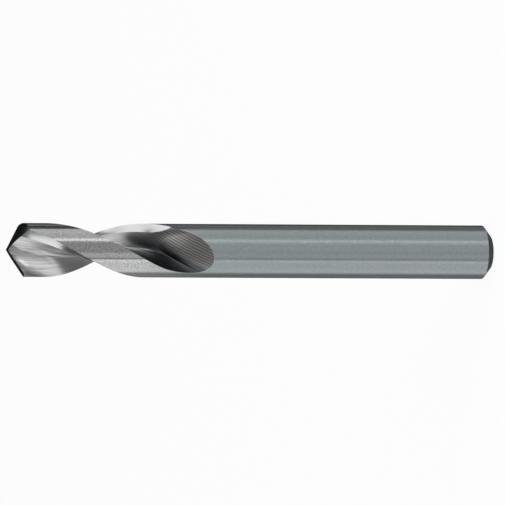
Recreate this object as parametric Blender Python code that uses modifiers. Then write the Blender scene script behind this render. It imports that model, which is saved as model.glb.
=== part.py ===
# Short solid spot drill: plain shank, two helical flutes with run-out, heel chamfers and a ground point.
# Metres, +Z up. The drill stands on the flat end of its shank, the point is at the top.
import math

import bmesh
import bpy
from mathutils import Matrix, Vector

# Driving sizes
DRILL_DIAMETER = 0.0090
OVERALL_LENGTH = 0.0840
POINT_ANGLE = math.radians(120.0)
HELIX_ANGLE = math.radians(27.7)
REAR_CHAMFER_RADIAL = 0.0016
REAR_CHAMFER_LENGTH = 0.0013
LIP_RELIEF = math.radians(6.0)
FLANK_RADIUS = 0.0096
LIP_AZIMUTH = math.radians(26.8)

# Flute section, radii as shares of the drill radius, angles ahead of the outer lip corner
LIP_OFFSET_SHARE = 0.14
LIP_STRAIGHT_SHARE = 0.28
CORE_SHARE = 0.18
CORE_ANGLE = math.radians(48.0)
HOLLOW_SHARE = 0.42
HOLLOW_ANGLE = math.radians(98.0)
RIDGE_SHARE = 0.69
RIDGE_ANGLE = math.radians(105.0)
FLOOR_END_ANGLE = math.radians(113.0)
HEEL_ANGLE = math.radians(115.0)

# Grinding wheels: centre distance from the drill axis as a share of the drill radius, setting angle,
# stop depth below the tip, and how far the wheel centre stands ahead of the lip edge at that depth
FLUTE_WHEEL_SHARE = 4.15
FLUTE_WHEEL_SETTING = math.radians(31.0)
FLUTE_STOP_DEPTH = 0.0277
FLUTE_WHEEL_LEAD = math.radians(62.7)
CHAMFER_WHEEL_SHARE = 3.2
CHAMFER_WHEEL_SETTING = math.radians(28.8)
CHAMFER_STOP_DEPTH = 0.0259
CHAMFER_WHEEL_LEAD = math.radians(108.0)

# Working values
RADIUS = DRILL_DIAMETER / 2.0
TWIST = math.tan(HELIX_ANGLE) / RADIUS
LIP_OFFSET = LIP_OFFSET_SHARE * RADIUS
LIP_SLOPE = 1.0 / math.tan(POINT_ANGLE / 2.0)
RIDGE_RADIUS = RIDGE_SHARE * RADIUS
OUTER_SHARE = 1.05
TOP_ALLOWANCE = 0.3 * RADIUS
ROUND_SEGMENTS = 72
WALL_STEPS = 8
BLEND_STEPS = 5
FLOOR_STEPS = 8
CHAMFER_STEPS = 5
TWIST_STEPS = 40
RUNOUT_STEPS = 12
FLANK_STEPS = 9

for old_object in list(bpy.data.objects):
    bpy.data.objects.remove(old_object, do_unlink=True)

part_collection = bpy.data.collections.new("nc_spot_drill")
cutter_collection = bpy.data.collections.new("cutters")
bpy.context.scene.collection.children.link(part_collection)
bpy.context.scene.collection.children.link(cutter_collection)


def polar(radius, angle):
    return Vector((radius * math.cos(angle), radius * math.sin(angle)))


def lip_run(radius):
    """Distance along the straight lip, seen from the tip, of its point at this radius."""
    return math.sqrt(max(radius * radius - LIP_OFFSET * LIP_OFFSET, 0.0))


def wall_angle(radius):
    """Angle of the flute wall in a cross-section, so that the point grind leaves a straight lip."""
    own = math.asin(min(1.0, LIP_OFFSET / radius)) + TWIST * LIP_SLOPE * lip_run(radius)
    outer = math.asin(LIP_OFFSET / RADIUS) + TWIST * LIP_SLOPE * lip_run(RADIUS)
    return own - outer


def wall_point(radius):
    return polar(radius, wall_angle(radius))


def curve_through(points, count):
    """Smooth curve through a few points, the cubic that passes all four of them."""
    marks = [0.0]
    for before, after in zip(points, points[1:]):
        marks.append(marks[-1] + (after - before).length)
    curve = []
    for step in range(count):
        mark = marks[-1] * step / (count - 1)
        spot = Vector((0.0, 0.0))
        for own, point in enumerate(points):
            weight = 1.0
            for other in range(len(points)):
                if other != own:
                    weight *= (mark - marks[other]) / (marks[own] - marks[other])
            spot += point * weight
        curve.append(spot)
    return curve


def line_crossing(first, first_direction, second, second_direction):
    """Lengths along two lines to the point where they cross."""
    grid = Matrix(((first_direction.x, -second_direction.x), (first_direction.y, -second_direction.y)))
    return grid.inverted() @ (second - first)


def flute_section():
    """Flute outline in a cross-section: lip wall from outside in, rounded bottom, floor from inside out."""
    outside = OUTER_SHARE * RADIUS
    inside = LIP_STRAIGHT_SHARE * RADIUS
    wall = []
    for step in range(WALL_STEPS):
        wall.append(wall_point(outside + (inside - outside) * step / (WALL_STEPS - 1)))
    nudge = 0.001 * RADIUS
    wall_direction = (wall_point(inside - nudge) - wall_point(inside + nudge)).normalized()
    floor_points = [
        polar(CORE_SHARE * RADIUS, CORE_ANGLE),
        polar(HOLLOW_SHARE * RADIUS, HOLLOW_ANGLE),
        polar(RIDGE_RADIUS, RIDGE_ANGLE),
        polar(RADIUS, FLOOR_END_ANGLE),
    ]
    floor_fine = curve_through(floor_points, 121)
    best_gap = None
    best_index = 1
    knee = None
    for index in range(1, 100):
        floor_direction = (floor_fine[index + 1] - floor_fine[index - 1]).normalized()
        lengths = line_crossing(wall[-1], wall_direction, floor_fine[index], -floor_direction)
        gap = abs(lengths.x - lengths.y)
        if best_gap is None or gap < best_gap:
            best_gap = gap
            best_index = index
            knee = wall[-1] + wall_direction * lengths.x
    blend = []
    for step in range(1, BLEND_STEPS):
        share = step / BLEND_STEPS
        near = wall[-1].lerp(knee, share)
        far = knee.lerp(floor_fine[best_index], share)
        blend.append(near.lerp(far, share))
    floor = []
    for step in range(FLOOR_STEPS):
        index = best_index + (120 - best_index) * step / (FLOOR_STEPS - 1)
        floor.append(floor_fine[int(round(index))])
    run = (floor_fine[-1] - floor_fine[-2]).normalized()
    floor.append(floor[-1] + run * (OUTER_SHARE - 1.0) * 1.3 * RADIUS)
    return wall + blend + floor


def chamfer_section():
    """Heel chamfer in a cross-section, from inside the flute to outside the drill."""
    ridge = polar(RIDGE_RADIUS, RIDGE_ANGLE)
    heel = polar(RADIUS, HEEL_ANGLE)
    run = (heel - ridge).normalized()
    start = ridge - run * 0.08 * RADIUS
    end = heel + run * 0.12 * RADIUS
    points = []
    for step in range(CHAMFER_STEPS):
        points.append(start.lerp(end, step / (CHAMFER_STEPS - 1)))
    return points


def lip_corner_angle(height):
    """Angle of the outer lip edge at this height of the drill."""
    corner_height = OVERALL_LENGTH - LIP_SLOPE * lip_run(RADIUS)
    return LIP_AZIMUTH + TWIST * (height - corner_height)


def screw_point(flat, base_height, turn):
    """A section point carried along the helix by a turn about the drill axis."""
    spot = Matrix.Rotation(lip_corner_angle(base_height) + turn, 2) @ flat
    return Vector((spot.x, spot.y, base_height + turn / TWIST))


def touch_turn(flat, along, base_height, wheel_centre, wheel_axis):
    """Turn at which the helical surface through a section point touches the wheel."""

    def miss(turn):
        normal_flat = Matrix.Rotation(lip_corner_angle(base_height) + turn, 2) @ Vector((along.y, -along.x))
        normal = Vector((normal_flat.x / TWIST, normal_flat.y / TWIST, along.dot(flat)))
        return normal.dot(wheel_axis.cross(screw_point(flat, base_height, turn) - wheel_centre))

    crossings = []
    for step in range(-80, 80):
        low = step * 0.01
        high = low + 0.01
        if miss(low) * miss(high) < 0.0:
            crossings.append((abs(low), low, high))
    if not crossings:
        return None
    distance, low, high = min(crossings)
    for halving in range(30):
        middle = (low + high) / 2.0
        if miss(low) * miss(middle) <= 0.0:
            high = middle
        else:
            low = middle
    return (low + high) / 2.0


def ground_cutter(name, section, closing, distance, setting, stop_depth, lead, half_turn):
    """Solid swept by a grinding wheel: helical from above the tip to the stop, then round the wheel."""
    base_height = OVERALL_LENGTH - stop_depth
    centre_angle = lip_corner_angle(base_height) + lead
    across = Vector((-math.sin(centre_angle), math.cos(centre_angle), 0.0))
    wheel_centre = Vector((distance * math.cos(centre_angle), distance * math.sin(centre_angle), base_height))
    wheel_axis = across * math.cos(setting) - Vector((0.0, 0.0, math.sin(setting)))
    turns = []
    for index in range(len(section)):
        before = section[max(index - 1, 0)]
        after = section[min(index + 1, len(section) - 1)]
        turns.append(touch_turn(section[index], after - before, base_height, wheel_centre, wheel_axis))
    known = [turn for turn in turns if turn is not None]
    first_known = turns.index(known[0])
    for index in range(first_known):
        turns[index] = known[0]
    for index in range(1, len(turns)):
        if turns[index] is None:
            turns[index] = turns[index - 1]
    loop = []
    for flat, turn in zip(section, turns):
        loop.append(screw_point(flat, base_height, turn))
    for index, flat in enumerate(closing):
        share = (index + 1) / (len(closing) + 1)
        turn = turns[-1] + (turns[0] - turns[-1]) * share
        loop.append(screw_point(flat, base_height, turn))
    exit_angle = 0.0
    direction = 1.0
    trial = Matrix.Rotation(0.01, 3, wheel_axis) @ (loop[0] - wheel_centre)
    if trial.z > loop[0].z - wheel_centre.z:
        direction = -1.0
    leaving = False
    while not leaving:
        exit_angle += 0.02
        swing = Matrix.Rotation(direction * exit_angle, 3, wheel_axis)
        leaving = True
        for point in loop:
            spot = swing @ (point - wheel_centre) + wheel_centre
            if math.hypot(spot.x, spot.y) < 1.02 * RADIUS:
                leaving = False
    work = bmesh.new()
    far_swing = Matrix.Rotation(direction * exit_angle, 3, wheel_axis)
    vertices = []
    for point in loop:
        vertices.append(work.verts.new(far_swing @ (point - wheel_centre) + wheel_centre))
    edges = []
    for index in range(len(vertices)):
        edges.append(work.edges.new((vertices[index], vertices[(index + 1) % len(vertices)])))
    first_edges = list(edges)
    swept = bmesh.ops.spin(work, geom=vertices + edges, cent=wheel_centre, axis=wheel_axis,
                           angle=-direction * exit_angle, steps=RUNOUT_STEPS)
    lowest = min(point.z for point in loop)
    travel = OVERALL_LENGTH + TOP_ALLOWANCE - lowest
    rise = Vector((0.0, 0.0, travel / TWIST_STEPS))
    swept = bmesh.ops.spin(work, geom=swept["geom_last"], cent=(0.0, 0.0, 0.0), axis=(0.0, 0.0, 1.0),
                           dvec=rise, angle=TWIST * travel, steps=TWIST_STEPS)
    last_edges = [item for item in swept["geom_last"] if isinstance(item, bmesh.types.BMEdge)]
    bmesh.ops.contextual_create(work, geom=first_edges)
    bmesh.ops.contextual_create(work, geom=last_edges)
    if half_turn:
        bmesh.ops.rotate(work, verts=work.verts, cent=(0.0, 0.0, 0.0), matrix=Matrix.Rotation(math.pi, 3, "Z"))
    bmesh.ops.triangulate(work, faces=work.faces)
    bmesh.ops.recalc_face_normals(work, faces=work.faces)
    return cutter_object(name, work)


def cutter_object(name, work):
    """Turn a finished bmesh into a hidden cutter."""
    mesh = bpy.data.meshes.new(name)
    work.to_mesh(mesh)
    work.free()
    cutter = bpy.data.objects.new(name, mesh)
    cutter.display_type = "WIRE"
    cutter.hide_render = True
    cutter_collection.objects.link(cutter)
    return cutter


def flank_cutter(name, tip_height, half_turn):
    """Everything above one flank: a rounded relief surface with its lines parallel to the lip."""
    half_point = POINT_ANGLE / 2.0
    profile = [Vector((-1.3 * RADIUS, 0.0))]
    sweep = (1.7 * RADIUS) / FLANK_RADIUS
    centre = Vector((-FLANK_RADIUS * math.sin(LIP_RELIEF), -FLANK_RADIUS * math.cos(LIP_RELIEF)))
    for step in range(FLANK_STEPS + 1):
        angle = LIP_RELIEF + sweep * step / FLANK_STEPS
        profile.append(centre + FLANK_RADIUS * Vector((math.sin(angle), math.cos(angle))))
    profile.append(Vector((profile[-1].x, 2.2 * RADIUS)))
    profile.append(Vector((-1.3 * RADIUS, 2.2 * RADIUS)))
    start_angle = LIP_AZIMUTH - math.asin(LIP_OFFSET / RADIUS)
    outward = Vector((math.cos(start_angle), math.sin(start_angle), 0.0))
    behind = Vector((math.sin(start_angle), -math.cos(start_angle), 0.0))
    along_lip = outward * math.sin(half_point) - Vector((0.0, 0.0, math.cos(half_point)))
    above = outward * math.cos(half_point) + Vector((0.0, 0.0, math.sin(half_point)))
    lip_start = Vector((0.0, 0.0, tip_height)) - behind * LIP_OFFSET
    work = bmesh.new()
    vertices = []
    for point in profile:
        place = lip_start + behind * point.x + above * point.y - along_lip * 1.6 * RADIUS
        vertices.append(work.verts.new(place))
    face = work.faces.new(vertices)
    grown = bmesh.ops.extrude_face_region(work, geom=[face])
    moved = [item for item in grown["geom"] if isinstance(item, bmesh.types.BMVert)]
    bmesh.ops.translate(work, verts=moved, vec=along_lip * 3.2 * RADIUS)
    if half_turn:
        bmesh.ops.rotate(work, verts=work.verts, cent=(0.0, 0.0, 0.0), matrix=Matrix.Rotation(math.pi, 3, "Z"))
    bmesh.ops.recalc_face_normals(work, faces=work.faces)
    return cutter_object(name, work)


# Turned blank with the rear chamfer
profile_mesh = bpy.data.meshes.new("nc_spot_drill")
blank_top = OVERALL_LENGTH + TOP_ALLOWANCE / 2.0
profile_points = [
    (0.0, 0.0, blank_top),
    (RADIUS, 0.0, blank_top),
    (RADIUS, 0.0, REAR_CHAMFER_LENGTH),
    (RADIUS - REAR_CHAMFER_RADIAL, 0.0, 0.0),
    (0.0, 0.0, 0.0),
]
profile_edges = [(index, index + 1) for index in range(len(profile_points) - 1)]
profile_mesh.from_pydata(profile_points, profile_edges, [])
drill = bpy.data.objects.new("nc_spot_drill", profile_mesh)
part_collection.objects.link(drill)
turning = drill.modifiers.new("turned blank", "SCREW")
turning.steps = ROUND_SEGMENTS
turning.render_steps = ROUND_SEGMENTS
turning.use_merge_vertices = True
turning.merge_threshold = 0.000001
turning.use_normal_calculate = True

# Cutters
flute_closing = [
    polar(1.35 * RADIUS, math.radians(103.0)),
    polar(1.55 * RADIUS, math.radians(65.0)),
    polar(1.35 * RADIUS, math.radians(14.0)),
]
chamfer_closing = [
    polar(1.20 * RADIUS, math.radians(100.0)),
    polar(0.64 * RADIUS, math.radians(96.0)),
]
relief_at_centre = LIP_OFFSET * math.tan(LIP_RELIEF) + LIP_OFFSET * LIP_OFFSET / (2.0 * FLANK_RADIUS)
flank_top = OVERALL_LENGTH + relief_at_centre / math.sin(POINT_ANGLE / 2.0)
cutters = []
for half_turn, side in ((False, "first"), (True, "second")):
    cutters.append(ground_cutter("flute " + side, flute_section(), flute_closing, FLUTE_WHEEL_SHARE * RADIUS,
                                 FLUTE_WHEEL_SETTING, FLUTE_STOP_DEPTH, FLUTE_WHEEL_LEAD, half_turn))
    cutters.append(ground_cutter("heel chamfer " + side, chamfer_section(), chamfer_closing,
                                 CHAMFER_WHEEL_SHARE * RADIUS, CHAMFER_WHEEL_SETTING, CHAMFER_STOP_DEPTH,
                                 CHAMFER_WHEEL_LEAD, half_turn))
    cutters.append(flank_cutter("flank " + side, flank_top, half_turn))

for cutter in cutters:
    cut = drill.modifiers.new(cutter.name, "BOOLEAN")
    cut.operation = "DIFFERENCE"
    cut.solver = "EXACT"
    cut.object = cutter

bpy.context.view_layer.update()
evaluated = drill.evaluated_get(bpy.context.evaluated_depsgraph_get())
finished_mesh = bpy.data.meshes.new_from_object(evaluated)
drill.modifiers.clear()
drill.data = finished_mesh
for polygon in finished_mesh.polygons:
    polygon.use_smooth = True
finished_mesh.set_sharp_from_angle(angle=math.radians(20.0))

steel = bpy.data.materials.new("ground_tool_steel")
steel.use_nodes = True
steel_shader = steel.node_tree.nodes["Principled BSDF"]
steel_shader.inputs["Base Color"].default_value = (0.42, 0.43, 0.44, 1.0)
steel_shader.inputs["Metallic"].default_value = 1.0
steel_shader.inputs["Roughness"].default_value = 0.3
finished_mesh.materials.clear()
finished_mesh.materials.append(steel)
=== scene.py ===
import math

import bmesh
import bpy
from mathutils import Matrix, Vector


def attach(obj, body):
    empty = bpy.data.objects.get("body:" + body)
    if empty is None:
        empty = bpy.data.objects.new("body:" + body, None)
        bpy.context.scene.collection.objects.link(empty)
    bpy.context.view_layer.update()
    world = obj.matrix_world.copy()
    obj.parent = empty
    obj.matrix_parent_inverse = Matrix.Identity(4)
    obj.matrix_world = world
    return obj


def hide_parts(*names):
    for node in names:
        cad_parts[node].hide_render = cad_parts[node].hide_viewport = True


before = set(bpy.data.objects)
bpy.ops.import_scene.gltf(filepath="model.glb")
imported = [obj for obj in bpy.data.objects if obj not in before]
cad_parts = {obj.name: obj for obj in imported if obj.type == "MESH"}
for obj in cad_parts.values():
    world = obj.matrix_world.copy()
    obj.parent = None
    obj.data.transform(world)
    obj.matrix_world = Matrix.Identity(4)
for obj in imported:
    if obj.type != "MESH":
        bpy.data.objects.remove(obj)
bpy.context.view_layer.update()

# The drill's sizes in metres and angles in radians, the same as its solid has
DRILL_DIAMETER = 0.0090
OVERALL_LENGTH = 0.0840
POINT_ANGLE = math.radians(120.0)
HELIX_ANGLE = math.radians(27.7)
REAR_CHAMFER_RADIAL = 0.0016
REAR_CHAMFER_LENGTH = 0.0013
LIP_RELIEF = math.radians(6.0)
FLANK_RADIUS = 0.0096
LIP_AZIMUTH = math.radians(26.8)

# Flute section, radii as shares of the drill radius, angles ahead of the outer lip corner
LIP_OFFSET_SHARE = 0.14
LIP_STRAIGHT_SHARE = 0.28
CORE_SHARE = 0.18
CORE_ANGLE = math.radians(48.0)
HOLLOW_SHARE = 0.42
HOLLOW_ANGLE = math.radians(98.0)
RIDGE_SHARE = 0.69
RIDGE_ANGLE = math.radians(105.0)
FLOOR_END_ANGLE = math.radians(113.0)
HEEL_ANGLE = math.radians(115.0)

# Grinding wheels: centre distance from the drill axis as a share of the drill radius, setting angle,
# stop depth below the tip, and how far the wheel centre stands ahead of the lip edge at that depth
FLUTE_WHEEL_SHARE = 4.15
FLUTE_WHEEL_SETTING = math.radians(31.0)
FLUTE_STOP_DEPTH = 0.0277
FLUTE_WHEEL_LEAD = math.radians(62.7)
CHAMFER_WHEEL_SHARE = 3.2
CHAMFER_WHEEL_SETTING = math.radians(28.8)
CHAMFER_STOP_DEPTH = 0.0259
CHAMFER_WHEEL_LEAD = math.radians(108.0)

# Working values
MM = 0.001
RADIUS = DRILL_DIAMETER / 2.0
TWIST = math.tan(HELIX_ANGLE) / RADIUS
LIP_OFFSET = LIP_OFFSET_SHARE * RADIUS
LIP_SLOPE = 1.0 / math.tan(POINT_ANGLE / 2.0)
RIDGE_RADIUS = RIDGE_SHARE * RADIUS
OUTER_SHARE = 1.05
TOP_ALLOWANCE = 0.3 * RADIUS
BLANK_RING_HEIGHT = 0.75 * OVERALL_LENGTH
FLOOR_OVERRUN = 1.3 * (OUTER_SHARE - 1.0) * RADIUS
CHAMFER_INNER_OVERRUN = 0.08 * RADIUS
CHAMFER_OUTER_OVERRUN = 0.12 * RADIUS

# How far a flank's cutter reaches in front of the lip, behind it, upward and to each side
FLANK_FRONT = 1.3 * RADIUS
FLANK_BACK = 1.7 * RADIUS
FLANK_RISE = 2.2 * RADIUS
FLANK_SIDE = 1.6 * RADIUS

# How finely each ground face is stepped
ROUND_SEGMENTS = 288
WALL_STEPS = 16
BLEND_STEPS = 9
FLOOR_STEPS = 18
CHAMFER_STEPS = 6
TWIST_STEPS = 130
RUNOUT_STEPS = 40
FLANK_STEPS = 22
SHARP_ANGLE = math.radians(14.0)

# How finely the flute's knee and the wheels' sweeps are searched for, angles in radians
FLOOR_CURVE_STEPS = 120
KNEE_SEARCH_END = 100
TURN_SEARCH_STEP = 0.01
TURN_SEARCH_STEPS = 80
TURN_HALVINGS = 30
TRIAL_SWING = 0.01
SWING_STEP = 0.02
CLEAR_RADIUS = 1.02 * RADIUS


# Materials
def linear_colour(hex_value):
    """An sRGB hex colour as the linear colour that a shader takes."""
    channels = []
    for shift in (16, 8, 0):
        value = ((hex_value >> shift) & 255) / 255.0
        channels.append(value / 12.92 if value <= 0.04045 else ((value + 0.055) / 1.055) ** 2.4)
    return (channels[0], channels[1], channels[2], 1.0)


def add_node(tree, kind, settings=None, **links):
    """A node and its settings; a link gives a value or output to a named input, or to i and its number."""
    node = tree.nodes.new(kind)
    for name, value in (settings or {}).items():
        setattr(node, name, value)
    for name, value in links.items():
        key = int(name[1:]) if name[0] == "i" and name[1:].isdigit() else name.replace("_", " ")
        if isinstance(value, bpy.types.NodeSocket):
            tree.links.new(value, node.inputs[key])
        else:
            node.inputs[key].default_value = value
    return node


def new_steel(name, roughness, anisotropic=0.0):
    """A bare steel: its shader with what is the same all over it, and the place on the drill in metres."""
    material = bpy.data.materials.new(name)
    material.use_nodes = True
    tree = material.node_tree
    shader = tree.nodes["Principled BSDF"]
    shader.inputs["Metallic"].default_value = 1.0
    shader.inputs["Roughness"].default_value = roughness
    shader.inputs["Anisotropic"].default_value = anisotropic
    place = add_node(tree, "ShaderNodeTexCoord").outputs["Object"]
    return material, tree, shader, place


def grinding_relief(tree, place, size_mm):
    """Marks of this size in mm along each axis, as their height from 0 to 1."""
    per_metre = tuple(1.0 / (size * MM) for size in size_mm)
    stretched = add_node(tree, "ShaderNodeVectorMath", {"operation": "MULTIPLY"}, i0=place, i1=per_metre)
    noise = add_node(tree, "ShaderNodeTexNoise", Vector=stretched.outputs["Vector"], Scale=1.0, Detail=3.0)
    height = add_node(tree, "ShaderNodeMapRange", Value=noise.outputs["Fac"], From_Min=0.3, From_Max=0.7)
    return height.outputs[0]


def grinding_marks(tree, place, size_mm, dark, light):
    """Marks of this size in mm: their height from 0 to 1, and the colour that goes with it, dark to light."""
    height = grinding_relief(tree, place, size_mm)
    colour = add_node(tree, "ShaderNodeMix", {"data_type": "RGBA"}, i0=height,
                      i6=linear_colour(dark), i7=linear_colour(light))
    return height, colour.outputs[2]


def flute_place(tree, place):
    """The place with the helix taken out, so that what runs along Z there runs along the flute."""
    height = add_node(tree, "ShaderNodeSeparateXYZ", Vector=place).outputs["Z"]
    turn = add_node(tree, "ShaderNodeMath", {"operation": "MULTIPLY"}, i0=height, i1=-TWIST)
    return add_node(tree, "ShaderNodeVectorRotate", {"rotation_type": "Z_AXIS"}, Vector=place,
                    Angle=turn.outputs[0]).outputs["Vector"]


# High-speed steel bar, centreless ground: fine scratches round it stretch every reflection along the bar. The
# real scratches are about 0.02 mm apart, and their faint relief is drawn at 0.3 mm, the finest that shows.
# The shank is a little cool. Toward the point the lands look cylindrically ground once more: neutral, finer
# and grainy
bar_steel, tree, shader, place = new_steel("centreless_ground_bar_steel", 0.34, 1.0)
scratches = grinding_relief(tree, place, (16.0, 16.0, 0.3))
cool = grinding_marks(tree, place, (0.4, 0.4, 0.4), 0xB4BEC0, 0xC3CCCE)[1]
neutral = grinding_marks(tree, place, (0.22, 0.22, 0.22), 0xBABBBA, 0xE2E3E3)[1]
height = add_node(tree, "ShaderNodeSeparateXYZ", Vector=place).outputs["Z"]
land_share = add_node(tree, "ShaderNodeMapRange", Value=height, From_Min=50.0 * MM, From_Max=62.0 * MM)
colour = add_node(tree, "ShaderNodeMix", {"data_type": "RGBA"}, i0=land_share.outputs[0], i6=cool, i7=neutral)
tree.links.new(colour.outputs[2], shader.inputs["Base Color"])
finer = add_node(tree, "ShaderNodeMapRange", Value=land_share.outputs[0], To_Min=0.34, To_Max=0.21)
tree.links.new(finer.outputs[0], shader.inputs["Roughness"])
tangent = add_node(tree, "ShaderNodeTangent", {"direction_type": "RADIAL", "axis": "Z"})
tree.links.new(tangent.outputs["Tangent"], shader.inputs["Tangent"])
shader.inputs["Anisotropic Rotation"].default_value = 0.25
bump = add_node(tree, "ShaderNodeBump", Height=scratches, Strength=1.0, Distance=0.0004 * MM)
tree.links.new(bump.outputs["Normal"], shader.inputs["Normal"])

# The same steel, flutes ground out with a shaped wheel: streaks along the flute, drawn 0.25 mm wide, and here
# and there the faint brown that a hot wheel leaves. Where the wheel stopped and swung out, its face left two
# sets of crossing marks about 0.1 mm apart, drawn 0.36 and 0.44 mm apart as light lines on dark matt steel.
# There the wall, and the floor beside the wheel's corner, are painted dark: painted shade and painted dark
# reflection where the wheel ran out
flute_steel, tree, shader, place = new_steel("wheel_ground_flute_steel", 0.24)
streaks, bright = grinding_marks(tree, flute_place(tree, place), (0.25, 0.25, 12.5), 0xB2B2B2, 0xD6D6D7)
patches, browned = grinding_marks(tree, flute_place(tree, place), (0.9, 0.9, 7.0), 0xB4B1AD, 0x8E887F)
brown_share = add_node(tree, "ShaderNodeMapRange", Value=patches, From_Min=0.6, From_Max=0.95, To_Max=0.6)
colour = add_node(tree, "ShaderNodeMix", {"data_type": "RGBA"}, i0=brown_share.outputs[0], i6=bright,
                  i7=browned)
marks = add_node(tree, "ShaderNodeSeparateXYZ", Vector=add_node(
    tree, "ShaderNodeUVMap", {"uv_map": "wheel_marks"}).outputs["UV"])
stop_marks_and_painted_shade = add_node(tree, "ShaderNodeSeparateXYZ", Vector=add_node(
    tree, "ShaderNodeUVMap", {"uv_map": "wheel_stop"}).outputs["UV"])
wander = add_node(tree, "ShaderNodeTexNoise", Vector=place, Scale=0.9 / MM, Detail=2.0)
lines = []
for across, spacing, strength in (("X", 0.36 * MM, 1.0), ("Y", 0.44 * MM, 0.45)):
    phase = add_node(tree, "ShaderNodeMath", {"operation": "MULTIPLY"}, i0=marks.outputs[across],
                     i1=2.0 * math.pi / spacing)
    phase = add_node(tree, "ShaderNodeMath", {"operation": "MULTIPLY_ADD"}, i0=wander.outputs["Fac"], i1=3.0,
                     i2=phase.outputs[0])
    wave = add_node(tree, "ShaderNodeMath", {"operation": "SINE"}, i0=phase.outputs[0])
    lines.append(add_node(tree, "ShaderNodeMapRange", Value=wave.outputs[0], From_Min=-0.2, From_Max=1.0,
                          To_Max=strength).outputs[0])
ridges = add_node(tree, "ShaderNodeMath", {"operation": "MAXIMUM"}, i0=lines[0], i1=lines[1]).outputs[0]
hatched = add_node(tree, "ShaderNodeMix", {"data_type": "RGBA"}, i0=ridges, i6=linear_colour(0x8C8B89),
                   i7=linear_colour(0xC6C5C3))
colour = add_node(tree, "ShaderNodeMix", {"data_type": "RGBA"}, i0=stop_marks_and_painted_shade.outputs["X"], i6=colour.outputs[2],
                  i7=hatched.outputs[2])
# Painted shade: the wall, and the floor beside the wheel's corner, are painted dark where the wheel ran out
colour = add_node(tree, "ShaderNodeMix", {"data_type": "RGBA"}, i0=stop_marks_and_painted_shade.outputs["Y"], i6=colour.outputs[2],
                  i7=linear_colour(0x585B5D))
tree.links.new(colour.outputs[2], shader.inputs["Base Color"])
matt = add_node(tree, "ShaderNodeMapRange", Value=stop_marks_and_painted_shade.outputs["X"], To_Min=0.24, To_Max=0.34)
tree.links.new(matt.outputs[0], shader.inputs["Roughness"])
relief = add_node(tree, "ShaderNodeMix", i0=stop_marks_and_painted_shade.outputs["X"], i2=streaks, i3=ridges)
bump = add_node(tree, "ShaderNodeBump", Height=relief.outputs[0], Strength=1.0, Distance=0.0018 * MM)
tree.links.new(bump.outputs["Normal"], shader.inputs["Normal"])

# The same steel, heel chamfer ground with a fine wheel: the brightest face, with streaks along it that are
# drawn 0.2 mm wide
chamfer_steel, tree, shader, place = new_steel("fine_ground_heel_chamfer_steel", 0.22)
streaks, colour = grinding_marks(tree, flute_place(tree, place), (0.2, 0.2, 10.0), 0xD6D7D9, 0xE8E9EB)
tree.links.new(colour, shader.inputs["Base Color"])
bump = add_node(tree, "ShaderNodeBump", Height=streaks, Strength=1.0, Distance=0.0008 * MM)
tree.links.new(bump.outputs["Normal"], shader.inputs["Normal"])

# The same steel, point flanks ground on a cup wheel: smooth faces with faint marks, drawn 0.2 mm apart,
# painted darker than ground steel as painted dark reflection
flank_steel, tree, shader, place = new_steel("cup_ground_flank_steel_painted_dark", 0.2)
streaks, colour = grinding_marks(tree, place, (0.2, 2.0, 2.0), 0x6C7474, 0x8A9292)
tree.links.new(colour, shader.inputs["Base Color"])
bump = add_node(tree, "ShaderNodeBump", Height=streaks, Strength=1.0, Distance=0.0008 * MM)
tree.links.new(bump.outputs["Normal"], shader.inputs["Normal"])

# The same steel, rear chamfer and end turned before hardening: dull and mottled, with fine rings, drawn 0.25
# mm apart, and painted near black as painted shade, the dark reflection of the shade under the drill's end
rear_steel, tree, shader, place = new_steel("turned_rear_steel_painted_dark", 0.42)
colour = grinding_marks(tree, place, (0.5, 0.5, 0.5), 0x343A3C, 0x4C5355)[1]
tree.links.new(colour, shader.inputs["Base Color"])
flat = add_node(tree, "ShaderNodeVectorMath", {"operation": "MULTIPLY"}, i0=place, i1=(1.0, 1.0, 0.0))
reach = add_node(tree, "ShaderNodeVectorMath", {"operation": "LENGTH"}, i0=flat.outputs["Vector"])
phase = add_node(tree, "ShaderNodeMath", {"operation": "MULTIPLY"}, i0=reach.outputs["Value"],
                 i1=2.0 * math.pi / (0.25 * MM))
turned_rings = add_node(tree, "ShaderNodeMath", {"operation": "SINE"}, i0=phase.outputs[0])
bump = add_node(tree, "ShaderNodeBump", Height=turned_rings.outputs[0], Strength=1.0, Distance=0.002 * MM)
tree.links.new(bump.outputs["Normal"], shader.inputs["Normal"])


# Geometry
def polar(radius, angle):
    return Vector((radius * math.cos(angle), radius * math.sin(angle)))


def lip_run(radius):
    """Distance along the straight lip, seen from the tip, of its point at this radius."""
    return math.sqrt(max(radius * radius - LIP_OFFSET * LIP_OFFSET, 0.0))


def wall_angle(radius):
    """Angle of the flute wall in a cross-section, so that the point grind leaves a straight lip."""
    own = math.asin(min(1.0, LIP_OFFSET / radius)) + TWIST * LIP_SLOPE * lip_run(radius)
    outer = math.asin(LIP_OFFSET / RADIUS) + TWIST * LIP_SLOPE * lip_run(RADIUS)
    return own - outer


def wall_point(radius):
    return polar(radius, wall_angle(radius))


def curve_through(points, count):
    """Smooth curve through a few points, the cubic that passes all four of them."""
    marks = [0.0]
    for before, after in zip(points, points[1:]):
        marks.append(marks[-1] + (after - before).length)
    curve = []
    for step in range(count):
        mark = marks[-1] * step / (count - 1)
        spot = Vector((0.0, 0.0))
        for own, point in enumerate(points):
            weight = 1.0
            for other in range(len(points)):
                if other != own:
                    weight *= (mark - marks[other]) / (marks[own] - marks[other])
            spot += point * weight
        curve.append(spot)
    return curve


def line_crossing(first, first_direction, second, second_direction):
    """Lengths along two lines to the point where they cross."""
    grid = Matrix(((first_direction.x, -second_direction.x), (first_direction.y, -second_direction.y)))
    return grid.inverted() @ (second - first)


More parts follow.
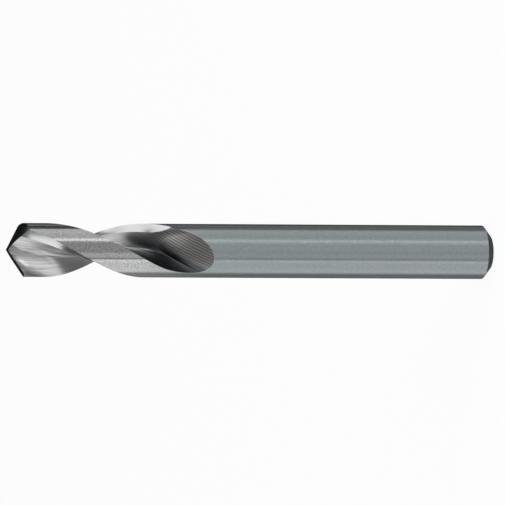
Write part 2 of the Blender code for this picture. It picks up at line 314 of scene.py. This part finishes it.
def flute_section():
    """Flute outline in a cross-section: lip wall from outside in, rounded bottom, floor from inside out."""
    outside = OUTER_SHARE * RADIUS
    inside = LIP_STRAIGHT_SHARE * RADIUS
    wall = []
    for step in range(WALL_STEPS):
        wall.append(wall_point(outside + (inside - outside) * step / (WALL_STEPS - 1)))
    nudge = 0.001 * RADIUS
    wall_direction = (wall_point(inside - nudge) - wall_point(inside + nudge)).normalized()
    floor_points = [
        polar(CORE_SHARE * RADIUS, CORE_ANGLE),
        polar(HOLLOW_SHARE * RADIUS, HOLLOW_ANGLE),
        polar(RIDGE_RADIUS, RIDGE_ANGLE),
        polar(RADIUS, FLOOR_END_ANGLE),
    ]
    floor_fine = curve_through(floor_points, FLOOR_CURVE_STEPS + 1)
    best_gap = None
    best_index = 1
    knee = None
    for index in range(1, KNEE_SEARCH_END):
        floor_direction = (floor_fine[index + 1] - floor_fine[index - 1]).normalized()
        lengths = line_crossing(wall[-1], wall_direction, floor_fine[index], -floor_direction)
        gap = abs(lengths.x - lengths.y)
        if best_gap is None or gap < best_gap:
            best_gap = gap
            best_index = index
            knee = wall[-1] + wall_direction * lengths.x
    blend = []
    for step in range(1, BLEND_STEPS):
        share = step / BLEND_STEPS
        near = wall[-1].lerp(knee, share)
        far = knee.lerp(floor_fine[best_index], share)
        blend.append(near.lerp(far, share))
    floor = []
    for step in range(FLOOR_STEPS):
        index = best_index + (FLOOR_CURVE_STEPS - best_index) * step / (FLOOR_STEPS - 1)
        low = min(int(index), FLOOR_CURVE_STEPS - 1)
        floor.append(floor_fine[low].lerp(floor_fine[low + 1], index - low))
    run = (floor_fine[-1] - floor_fine[-2]).normalized()
    floor.append(floor[-1] + run * FLOOR_OVERRUN)
    return wall + blend + floor


def chamfer_section():
    """Heel chamfer in a cross-section, from inside the flute to outside the drill."""
    ridge = polar(RIDGE_RADIUS, RIDGE_ANGLE)
    heel = polar(RADIUS, HEEL_ANGLE)
    run = (heel - ridge).normalized()
    start = ridge - run * CHAMFER_INNER_OVERRUN
    end = heel + run * CHAMFER_OUTER_OVERRUN
    points = []
    for step in range(CHAMFER_STEPS):
        points.append(start.lerp(end, step / (CHAMFER_STEPS - 1)))
    return points


def lip_corner_angle(height):
    """Angle of the outer lip edge at this height of the drill."""
    corner_height = OVERALL_LENGTH - LIP_SLOPE * lip_run(RADIUS)
    return LIP_AZIMUTH + TWIST * (height - corner_height)


def screw_point(flat, base_height, turn):
    """A section point carried along the helix by a turn about the drill axis."""
    spot = Matrix.Rotation(lip_corner_angle(base_height) + turn, 2) @ flat
    return Vector((spot.x, spot.y, base_height + turn / TWIST))


def touch_turn(flat, along, base_height, wheel_centre, wheel_axis):
    """Turn at which the helical surface through a section point touches the wheel."""

    def miss(turn):
        normal_flat = Matrix.Rotation(lip_corner_angle(base_height) + turn, 2) @ Vector((along.y, -along.x))
        normal = Vector((normal_flat.x / TWIST, normal_flat.y / TWIST, along.dot(flat)))
        return normal.dot(wheel_axis.cross(screw_point(flat, base_height, turn) - wheel_centre))

    crossings = []
    for step in range(-TURN_SEARCH_STEPS, TURN_SEARCH_STEPS):
        low = step * TURN_SEARCH_STEP
        high = low + TURN_SEARCH_STEP
        if miss(low) * miss(high) < 0.0:
            crossings.append((abs(low), low, high))
    if not crossings:
        return None
    distance, low, high = min(crossings)
    for halving in range(TURN_HALVINGS):
        middle = (low + high) / 2.0
        if miss(low) * miss(middle) <= 0.0:
            high = middle
        else:
            low = middle
    return (low + high) / 2.0


def ground_cutter(name, section, closing, distance, setting, stop_depth, lead, half_turn, finishes):
    """Solid swept by a grinding wheel: helical from above the tip to the stop, then round the wheel.

    The finishes are what its helical faces leave on the steel, then what its run-out faces leave.
    """
    base_height = OVERALL_LENGTH - stop_depth
    centre_angle = lip_corner_angle(base_height) + lead
    across = Vector((-math.sin(centre_angle), math.cos(centre_angle), 0.0))
    wheel_centre = Vector((distance * math.cos(centre_angle), distance * math.sin(centre_angle), base_height))
    wheel_axis = across * math.cos(setting) - Vector((0.0, 0.0, math.sin(setting)))
    turns = []
    for index in range(len(section)):
        before = section[max(index - 1, 0)]
        after = section[min(index + 1, len(section) - 1)]
        turns.append(touch_turn(section[index], after - before, base_height, wheel_centre, wheel_axis))
    known = [turn for turn in turns if turn is not None]
    first_known = turns.index(known[0])
    for index in range(first_known):
        turns[index] = known[0]
    for index in range(1, len(turns)):
        if turns[index] is None:
            turns[index] = turns[index - 1]
    loop = []
    for flat, turn in zip(section, turns):
        loop.append(screw_point(flat, base_height, turn))
    for index, flat in enumerate(closing):
        share = (index + 1) / (len(closing) + 1)
        turn = turns[-1] + (turns[0] - turns[-1]) * share
        loop.append(screw_point(flat, base_height, turn))
    exit_angle = 0.0
    direction = 1.0
    trial = Matrix.Rotation(TRIAL_SWING, 3, wheel_axis) @ (loop[0] - wheel_centre)
    if trial.z > loop[0].z - wheel_centre.z:
        direction = -1.0
    leaving = False
    while not leaving:
        exit_angle += SWING_STEP
        swing = Matrix.Rotation(direction * exit_angle, 3, wheel_axis)
        leaving = True
        for point in loop:
            spot = swing @ (point - wheel_centre) + wheel_centre
            if math.hypot(spot.x, spot.y) < CLEAR_RADIUS:
                leaving = False
    work = bmesh.new()
    far_swing = Matrix.Rotation(direction * exit_angle, 3, wheel_axis)
    vertices = []
    for point in loop:
        vertices.append(work.verts.new(far_swing @ (point - wheel_centre) + wheel_centre))
    edges = []
    for index in range(len(vertices)):
        edges.append(work.edges.new((vertices[index], vertices[(index + 1) % len(vertices)])))
    first_edges = list(edges)
    swept = bmesh.ops.spin(work, geom=vertices + edges, cent=wheel_centre, axis=wheel_axis,
                           angle=-direction * exit_angle, steps=RUNOUT_STEPS)
    for face in work.faces:
        face.material_index = 1
    lowest = min(point.z for point in loop)
    travel = OVERALL_LENGTH + TOP_ALLOWANCE - lowest
    rise = Vector((0.0, 0.0, travel / TWIST_STEPS))
    before_twist = set(work.faces)
    swept = bmesh.ops.spin(work, geom=swept["geom_last"], cent=(0.0, 0.0, 0.0), axis=(0.0, 0.0, 1.0),
                           dvec=rise, angle=TWIST * travel, steps=TWIST_STEPS)
    for face in work.faces:
        if face not in before_twist:
            face.material_index = 0
    last_edges = [item for item in swept["geom_last"] if isinstance(item, bmesh.types.BMEdge)]
    bmesh.ops.contextual_create(work, geom=first_edges)
    bmesh.ops.contextual_create(work, geom=last_edges)
    if half_turn:
        bmesh.ops.rotate(work, verts=work.verts, cent=(0.0, 0.0, 0.0),
                         matrix=Matrix.Rotation(math.pi, 3, "Z"))
    bmesh.ops.triangulate(work, faces=work.faces)
    bmesh.ops.recalc_face_normals(work, faces=work.faces)
    return cutter_object(name, work, finishes)


def cutter_object(name, work, finishes):
    """Turn a finished bmesh into a hidden cutter whose faces carry the finish that they leave."""
    mesh = bpy.data.meshes.new(name)
    work.to_mesh(mesh)
    work.free()
    for finish in finishes:
        mesh.materials.append(finish)
    cutter = bpy.data.objects.new(name, mesh)
    cutter.hide_render = True
    bpy.context.scene.collection.objects.link(cutter)
    return cutter


def flank_cutter(name, tip_height, half_turn, finishes):
    """Everything above one flank: a rounded relief surface with its lines parallel to the lip."""
    half_point = POINT_ANGLE / 2.0
    profile = [Vector((-FLANK_FRONT, 0.0))]
    sweep = FLANK_BACK / FLANK_RADIUS
    centre = Vector((-FLANK_RADIUS * math.sin(LIP_RELIEF), -FLANK_RADIUS * math.cos(LIP_RELIEF)))
    for step in range(FLANK_STEPS + 1):
        angle = LIP_RELIEF + sweep * step / FLANK_STEPS
        profile.append(centre + FLANK_RADIUS * Vector((math.sin(angle), math.cos(angle))))
    profile.append(Vector((profile[-1].x, FLANK_RISE)))
    profile.append(Vector((-FLANK_FRONT, FLANK_RISE)))
    start_angle = LIP_AZIMUTH - math.asin(LIP_OFFSET / RADIUS)
    outward = Vector((math.cos(start_angle), math.sin(start_angle), 0.0))
    behind = Vector((math.sin(start_angle), -math.cos(start_angle), 0.0))
    along_lip = outward * math.sin(half_point) - Vector((0.0, 0.0, math.cos(half_point)))
    above = outward * math.cos(half_point) + Vector((0.0, 0.0, math.sin(half_point)))
    lip_start = Vector((0.0, 0.0, tip_height)) - behind * LIP_OFFSET
    work = bmesh.new()
    vertices = []
    for point in profile:
        place = lip_start + behind * point.x + above * point.y - along_lip * FLANK_SIDE
        vertices.append(work.verts.new(place))
    face = work.faces.new(vertices)
    grown = bmesh.ops.extrude_face_region(work, geom=[face])
    moved = [item for item in grown["geom"] if isinstance(item, bmesh.types.BMVert)]
    bmesh.ops.translate(work, verts=moved, vec=along_lip * 2.0 * FLANK_SIDE)
    if half_turn:
        bmesh.ops.rotate(work, verts=work.verts, cent=(0.0, 0.0, 0.0),
                         matrix=Matrix.Rotation(math.pi, 3, "Z"))
    bmesh.ops.recalc_face_normals(work, faces=work.faces)
    return cutter_object(name, work, finishes)


def bar_blank():
    """The bar with its rear chamfer, a little longer than the drill, in its two finishes."""
    mesh = bpy.data.meshes.new("ground_drill")
    work = bmesh.new()
    rings = []
    for radius, height in (
        (RADIUS - REAR_CHAMFER_RADIAL, 0.0),
        (RADIUS, REAR_CHAMFER_LENGTH),
        (RADIUS, BLANK_RING_HEIGHT),
        (RADIUS, OVERALL_LENGTH + TOP_ALLOWANCE / 2.0),
    ):
        ring = []
        for index in range(ROUND_SEGMENTS):
            spot = polar(radius, 2.0 * math.pi * index / ROUND_SEGMENTS)
            ring.append(work.verts.new((spot.x, spot.y, height)))
        rings.append(ring)
    for lower, upper in zip(rings, rings[1:]):
        for index in range(ROUND_SEGMENTS):
            after = (index + 1) % ROUND_SEGMENTS
            face = work.faces.new((lower[index], lower[after], upper[after], upper[index]))
            face.material_index = 1 if lower is rings[0] else 0
    rear_face = work.faces.new(list(reversed(rings[0])))
    rear_face.material_index = 1
    work.faces.new(rings[-1])
    work.to_mesh(mesh)
    work.free()
    mesh.materials.append(bar_steel)
    mesh.materials.append(rear_steel)
    blank = bpy.data.objects.new("ground_drill", mesh)
    bpy.context.scene.collection.objects.link(blank)
    return blank


# Points that close each section outside the drill
flute_closing = [
    polar(1.35 * RADIUS, math.radians(103.0)),
    polar(1.55 * RADIUS, math.radians(65.0)),
    polar(1.35 * RADIUS, math.radians(14.0)),
]
chamfer_closing = [
    polar(1.20 * RADIUS, math.radians(100.0)),
    polar(0.64 * RADIUS, math.radians(96.0)),
]
relief_at_centre = LIP_OFFSET * math.tan(LIP_RELIEF) + LIP_OFFSET * LIP_OFFSET / (2.0 * FLANK_RADIUS)
flank_top = OVERALL_LENGTH + relief_at_centre / math.sin(POINT_ANGLE / 2.0)

# A marker that tells the faces of a flute's run-out from its helical faces, until their marks are laid
runout_zone = bpy.data.materials.new("runout_zone")
cutters = []
for half_turn, side in ((False, "first"), (True, "second")):
    cutters.append(ground_cutter("flute " + side, flute_section(), flute_closing, FLUTE_WHEEL_SHARE * RADIUS,
                                 FLUTE_WHEEL_SETTING, FLUTE_STOP_DEPTH, FLUTE_WHEEL_LEAD, half_turn,
                                 (flute_steel, runout_zone)))
    cutters.append(ground_cutter("heel chamfer " + side, chamfer_section(), chamfer_closing,
                                 CHAMFER_WHEEL_SHARE * RADIUS, CHAMFER_WHEEL_SETTING, CHAMFER_STOP_DEPTH,
                                 CHAMFER_WHEEL_LEAD, half_turn, (chamfer_steel, chamfer_steel)))
    cutters.append(flank_cutter("flank " + side, flank_top, half_turn, (flank_steel,)))

drill = bar_blank()
for cutter in cutters:
    cut = drill.modifiers.new(cutter.name, "BOOLEAN")
    cut.operation = "DIFFERENCE"
    cut.solver = "EXACT"
    cut.material_mode = "TRANSFER"
    cut.object = cutter

bpy.context.view_layer.update()
evaluated = drill.evaluated_get(bpy.context.evaluated_depsgraph_get())
finished_mesh = bpy.data.meshes.new_from_object(evaluated)
drill.modifiers.clear()
drill.data = finished_mesh
for cutter in cutters:
    bpy.data.objects.remove(cutter, do_unlink=True)
for polygon in finished_mesh.polygons:
    polygon.use_smooth = True
finished_mesh.set_sharp_from_angle(angle=SHARP_ANGLE)

# Heights where the flute wheel's crossing marks and the painted shade on its wall fade, first where they are
# full, then where there are none, and the same for the painted shade on the floor by angle in the section and
# by distance from the wheel's corner
HATCH_FADE = (61.5 * MM, 64.5 * MM)
WALL_PAINTED_SHADE_FADE = (58.5 * MM, 62.5 * MM)
FLOOR_PAINTED_SHADE_FADE = (62.5 * MM, 65.5 * MM)
FLOOR_PAINTED_SHADE_END = (58.0 * MM, 54.0 * MM)
FLOOR_PAINTED_SHADE_ANGLES = (math.radians(84.0), math.radians(116.0))
FLOOR_PAINTED_SHADE_REACH = (0.1 * MM, 1.8 * MM)
MARKS_TOP = FLOOR_PAINTED_SHADE_FADE[1] + RADIUS

# The corner between a flute's wall and its floor, half of how softly they blend there, in the section and
# along the wheel's axis, and where the half of the section that holds the first flute starts
CORNER_ANGLE = math.radians(48.0)
CORNER_BLEND_ANGLE = 0.05
CORNER_BLEND_WIDTH = 0.1 * MM
FLUTE_HALF_START = math.radians(-33.0)


def fade(value, full, none):
    """Share that is 1 at the first value and 0 at the second."""
    return min(max((none - value) / (none - full), 0.0), 1.0)


def stopped_wheel(centre_angle):
    """The flute wheel where it stopped: its centre, its axis, the way toward it and the way its rim runs."""
    toward = Vector((math.cos(centre_angle), math.sin(centre_angle), 0.0))
    across = Vector((-math.sin(centre_angle), math.cos(centre_angle), 0.0))
    wheel_axis = across * math.cos(FLUTE_WHEEL_SETTING) - Vector((0.0, 0.0, math.sin(FLUTE_WHEEL_SETTING)))
    wheel_centre = toward * FLUTE_WHEEL_SHARE * RADIUS + Vector((0.0, 0.0, OVERALL_LENGTH - FLUTE_STOP_DEPTH))
    return wheel_centre, wheel_axis, toward, wheel_axis.cross(toward)


def lay_wheel_marks_and_painted_shade(mesh):
    """Lay the flutes' marks: where each spot met the wheel, then how far it has crossing marks and painted
    shade.
    """
    for name in ("wheel_marks", "wheel_stop"):
        for corner in mesh.uv_layers.new(name=name).uv:
            corner.vector = (0.0, 0.0)
    wheel_marks = mesh.uv_layers["wheel_marks"].uv
    wheel_stop = mesh.uv_layers["wheel_stop"].uv
    materials = list(mesh.materials)
    for polygon in mesh.polygons:
        material = materials[polygon.material_index]
        if material not in (flute_steel, runout_zone) or polygon.center.z > MARKS_TOP:
            continue
        section_angle = math.atan2(polygon.center.y, polygon.center.x) - lip_corner_angle(polygon.center.z)
        half = 0.0 if (section_angle - FLUTE_HALF_START) % (2.0 * math.pi) < math.pi else math.pi
        centre_angle = lip_corner_angle(OVERALL_LENGTH - FLUTE_STOP_DEPTH) + FLUTE_WHEEL_LEAD + half
        if material is runout_zone:
            flat = Vector((math.cos(centre_angle), math.sin(centre_angle)))
            if flat.dot(polygon.center.xy) < 0.0:
                centre_angle += math.pi
            polygon.material_index = materials.index(flute_steel)
        wheel_centre, wheel_axis, toward, forward = stopped_wheel(centre_angle)
        for loop_index in polygon.loop_indices:
            spot = mesh.vertices[mesh.loops[loop_index].vertex_index].co
            arm = spot - wheel_centre
            along = arm.dot(wheel_axis)
            swing = math.atan2(arm.dot(forward), -arm.dot(toward))
            if material is runout_zone:
                on_wall = fade(along, -CORNER_BLEND_WIDTH, CORNER_BLEND_WIDTH)
                floor_painted_shade = fade(along, FLOOR_PAINTED_SHADE_REACH[0], FLOOR_PAINTED_SHADE_REACH[1])
            else:
                angle = math.atan2(spot.y, spot.x) - lip_corner_angle(spot.z) - half
                angle = (angle - FLUTE_HALF_START) % (2.0 * math.pi) + FLUTE_HALF_START
                on_wall = fade(angle, CORNER_ANGLE - CORNER_BLEND_ANGLE, CORNER_ANGLE + CORNER_BLEND_ANGLE)
                floor_painted_shade = fade(angle, FLOOR_PAINTED_SHADE_ANGLES[0], FLOOR_PAINTED_SHADE_ANGLES[1])
            # Painted shade: how dark the wall and the floor beside the wheel's corner are painted where the
            # wheel ran out
            wall_painted_shade = fade(spot.z, WALL_PAINTED_SHADE_FADE[0], WALL_PAINTED_SHADE_FADE[1])
            floor_painted_shade *= fade(spot.z, FLOOR_PAINTED_SHADE_FADE[0], FLOOR_PAINTED_SHADE_FADE[1])
            floor_painted_shade *= fade(spot.z, FLOOR_PAINTED_SHADE_END[0], FLOOR_PAINTED_SHADE_END[1])
            painted_shade = on_wall * wall_painted_shade + (1.0 - on_wall) * floor_painted_shade
            hatch = (1.0 - on_wall) * fade(spot.z, HATCH_FADE[0], HATCH_FADE[1])
            wheel_marks[loop_index].vector = (along, swing * FLUTE_WHEEL_SHARE * RADIUS)
            wheel_stop[loop_index].vector = (hatch, painted_shade)
    mesh.materials.pop(index=materials.index(runout_zone))
    bpy.data.materials.remove(runout_zone)


lay_wheel_marks_and_painted_shade(finished_mesh)

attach(drill, "root")
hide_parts("nc_spot_drill")

# Floor of white paper, which mostly glows white to the camera and a little shows the drill's shadow. Metal
# doesn't mirror it, because it would hide the studio walls below the drill
FLOOR_REACH = 3.0
PAPER_GLOW = 0.95
floor_mesh = bpy.data.meshes.new("studio_floor")
work = bmesh.new()
bmesh.ops.create_grid(work, x_segments=1, y_segments=1, size=FLOOR_REACH)
work.to_mesh(floor_mesh)
work.free()
floor = bpy.data.objects.new("studio_floor", floor_mesh)
bpy.context.scene.collection.objects.link(floor)
floor.visible_glossy = False
floor_paper = bpy.data.materials.new("white_paper_floor")
floor_paper.use_nodes = True
tree = floor_paper.node_tree
tree.nodes.remove(tree.nodes["Principled BSDF"])
paper = add_node(tree, "ShaderNodeBsdfDiffuse", Color=linear_colour(0xF4F4F4))
glow = add_node(tree, "ShaderNodeEmission", Color=linear_colour(0xFFFFFF), Strength=1.0)
rays = add_node(tree, "ShaderNodeLightPath")
seen = add_node(tree, "ShaderNodeMath", {"operation": "MAXIMUM"}, i0=rays.outputs["Is Camera Ray"],
                i1=rays.outputs["Is Glossy Ray"])
seen = add_node(tree, "ShaderNodeMath", {"operation": "MAXIMUM"}, i0=seen.outputs[0],
                i1=rays.outputs["Is Transmission Ray"])
share = add_node(tree, "ShaderNodeMath", {"operation": "MULTIPLY"}, i0=seen.outputs[0], i1=PAPER_GLOW)
blend = add_node(tree, "ShaderNodeMixShader", i0=share.outputs[0], i1=paper.outputs[0], i2=glow.outputs[0])
tree.links.new(blend.outputs[0], tree.nodes["Material Output"].inputs["Surface"])
floor_mesh.materials.append(floor_paper)

# Studio walls round the drill, seen from its middle: azimuth from the camera towards +X, then elevation, in
# degrees, each as middle, half width and half width of the soft edge, then how bright it is. Later walls lie
# over earlier ones, and white paper is all round behind them
STUDIO_WALLS = (
    ("low wall behind", (228, 80, 4), (-36, 32, 8), 0.36),
    ("upper left wall", (-77, 75, 20), (41, 24, 4), 0.22),
    ("right softbox", (62, 50, 6), (5, 25, 4), 0.85),
    ("upper right softbox", (61, 24, 12), (24, 12, 6), 1.0),
    ("dim ceiling right", (84, 50, 8), (62, 26, 4), 0.15),
    ("dark floor right", (110, 36, 5), (-68, 22, 4), 0.12),
    ("left softbox", (-78, 34, 4), (2, 23, 3), 1.0),
    ("dark skirt right", (100, 46, 4), (-34, 14, 3), 0.02),
    ("dark skirt left", (-131, 25, 6), (-30, 26, 6), 0.3),
    ("dark corner left", (-140, 28, 5), (10, 16, 4), 0.08),
    ("dim floor left", (-90, 34, 5), (-48, 23, 3), 0.2),
    ("table edge", (-2, 38, 8), (-26, 9, 5), 0.55),
    ("dim camera side", (-25, 17, 5), (12, 24, 6), 0.16),
    ("dark camera side", (15, 26, 6), (2, 19, 3), 0.0),
    ("black wall behind", (167, 38, 10), (20, 42, 10), 0.02),
    ("low strip behind", (177, 24, 6), (-36, 17, 4), 0.4),
    ("dark strip right", (66, 9, 3), (-55, 36, 3), 0.0),
    ("lamp strip", (45, 5, 5), (-12, 7, 3), 2.1),
    ("dark step", (47, 9, 3), (-28, 8, 3), 0.05),
    ("low lamp strip", (45, 5, 4), (-58, 20, 5), 3.0),
    ("dark panel right", (116, 14, 4), (-26, 32, 5), 0.04),
    ("dark seam", (-35, 1.5, 1.5), (-20, 26, 6), 0.0),
)
PAPER_WHITE = 1.1
world = bpy.data.worlds.new("studio_world")
bpy.context.scene.world = world
world.use_nodes = True
tree = world.node_tree
place = add_node(tree, "ShaderNodeTexCoord")
level = add_node(tree, "ShaderNodeVectorMath", {"operation": "MULTIPLY"}, i0=place.outputs["Generated"],
                 i1=(1.0, 1.0, 0.0))
level = add_node(tree, "ShaderNodeVectorMath", {"operation": "NORMALIZE"}, i0=level.outputs["Vector"])
parts = add_node(tree, "ShaderNodeSeparateXYZ", Vector=place.outputs["Generated"])
height = add_node(tree, "ShaderNodeMath", {"operation": "ARCSINE"}, i0=parts.outputs["Z"])
brightness = PAPER_WHITE
for wall_name, azimuth, elevation, tone in STUDIO_WALLS:
    turn = math.radians(azimuth[0])
    across = add_node(tree, "ShaderNodeVectorMath", {"operation": "DOT_PRODUCT"}, i0=level.outputs["Vector"],
                      i1=(math.sin(turn), -math.cos(turn), 0.0))
    across = add_node(tree, "ShaderNodeMath", {"operation": "ARCCOSINE"}, i0=across.outputs["Value"])
    upward = add_node(tree, "ShaderNodeMath", {"operation": "SUBTRACT"}, i0=height.outputs[0],
                      i1=math.radians(elevation[0]))
    upward = add_node(tree, "ShaderNodeMath", {"operation": "ABSOLUTE"}, i0=upward.outputs[0])
    masks = []
    for gap, (middle_angle, half, soft) in ((across, azimuth), (upward, elevation)):
        mask = add_node(tree, "ShaderNodeMapRange", {"interpolation_type": "SMOOTHSTEP"},
                        Value=gap.outputs[0], From_Min=math.radians(half + soft),
                        From_Max=math.radians(half - soft))
        masks.append(mask.outputs[0])
    mask = add_node(tree, "ShaderNodeMath", {"operation": "MULTIPLY", "label": wall_name}, i0=masks[0],
                    i1=masks[1])
    mixed = add_node(tree, "ShaderNodeMix", i0=mask.outputs[0], i2=brightness, i3=tone)
    brightness = mixed.outputs[0]
rays = add_node(tree, "ShaderNodeLightPath")
seen = add_node(tree, "ShaderNodeMath", {"operation": "MAXIMUM"}, i0=rays.outputs["Is Camera Ray"],
                i1=rays.outputs["Is Transmission Ray"])
shown = add_node(tree, "ShaderNodeMix", i0=seen.outputs[0], i2=brightness, i3=1.0)
tree.links.new(shown.outputs[0], tree.nodes["Background"].inputs["Strength"])
tree.nodes["Background"].inputs["Color"].default_value = linear_colour(0xFFFFFF)

# Lamp: a square softbox in front of the drill, to its +X side and above it, aimed at the shank
LAMP_SIDE = 0.4
LAMP_POWER = 1.4
LAMP_PLACE = Vector((0.3, -0.3, 0.4))
LAMP_TARGET = Vector((0.0, 0.0, 0.05))
lamp = bpy.data.lights.new("softbox", "AREA")
lamp.shape = "RECTANGLE"
lamp.size = LAMP_SIDE
lamp.size_y = LAMP_SIDE
lamp.energy = LAMP_POWER
lamp_object = bpy.data.objects.new("softbox", lamp)
lamp_object.location = LAMP_PLACE
lamp_object.rotation_mode = "QUATERNION"
lamp_object.rotation_quaternion = (LAMP_PLACE - LAMP_TARGET).to_track_quat("Z", "Y")
lamp_object.visible_glossy = False
bpy.context.scene.collection.objects.link(lamp_object)

# Camera at the photo's angle, turned so that the drill lies across the picture with its point to the left.
# The tip's column and row and the drill's width are in pixels of the 505 pixel picture
IMAGE_SIDE = 505
DRILL_WIDTH = 53.93
LENS_MM = 1280.0
SENSOR_MM = 36.0
CAMERA_RISE = math.radians(16.0)
CAMERA_ROLL = math.radians(0.293)
METRES_PER_PIXEL = DRILL_DIAMETER / DRILL_WIDTH
TIP_COLUMN = 6.7
TIP_ROW = 249.82
to_camera = Vector((0.0, -math.cos(CAMERA_RISE), math.sin(CAMERA_RISE)))
level_right = Vector((0.0, -math.sin(CAMERA_RISE), -math.cos(CAMERA_RISE)))
level_up = Vector((1.0, 0.0, 0.0))
right = level_right * math.cos(CAMERA_ROLL) + level_up * math.sin(CAMERA_ROLL)
up = level_up * math.cos(CAMERA_ROLL) - level_right * math.sin(CAMERA_ROLL)
distance = LENS_MM / SENSOR_MM * IMAGE_SIDE * METRES_PER_PIXEL
middle = Vector((0.0, 0.0, OVERALL_LENGTH))
middle += right * (IMAGE_SIDE / 2.0 - TIP_COLUMN) * METRES_PER_PIXEL
middle -= up * (IMAGE_SIDE / 2.0 - TIP_ROW) * METRES_PER_PIXEL
camera = bpy.data.cameras.new("studio_camera")
camera.lens = LENS_MM
camera.sensor_width = SENSOR_MM
camera.clip_start = 0.05
camera.clip_end = 10.0
camera_object = bpy.data.objects.new("studio_camera", camera)
bpy.context.scene.collection.objects.link(camera_object)
turn = Matrix((right, up, to_camera)).transposed()
camera_object.matrix_world = Matrix.Translation(middle + to_camera * distance) @ turn.to_4x4()
bpy.context.scene.camera = camera_object
bpy.context.scene.view_settings.view_transform = "Standard"
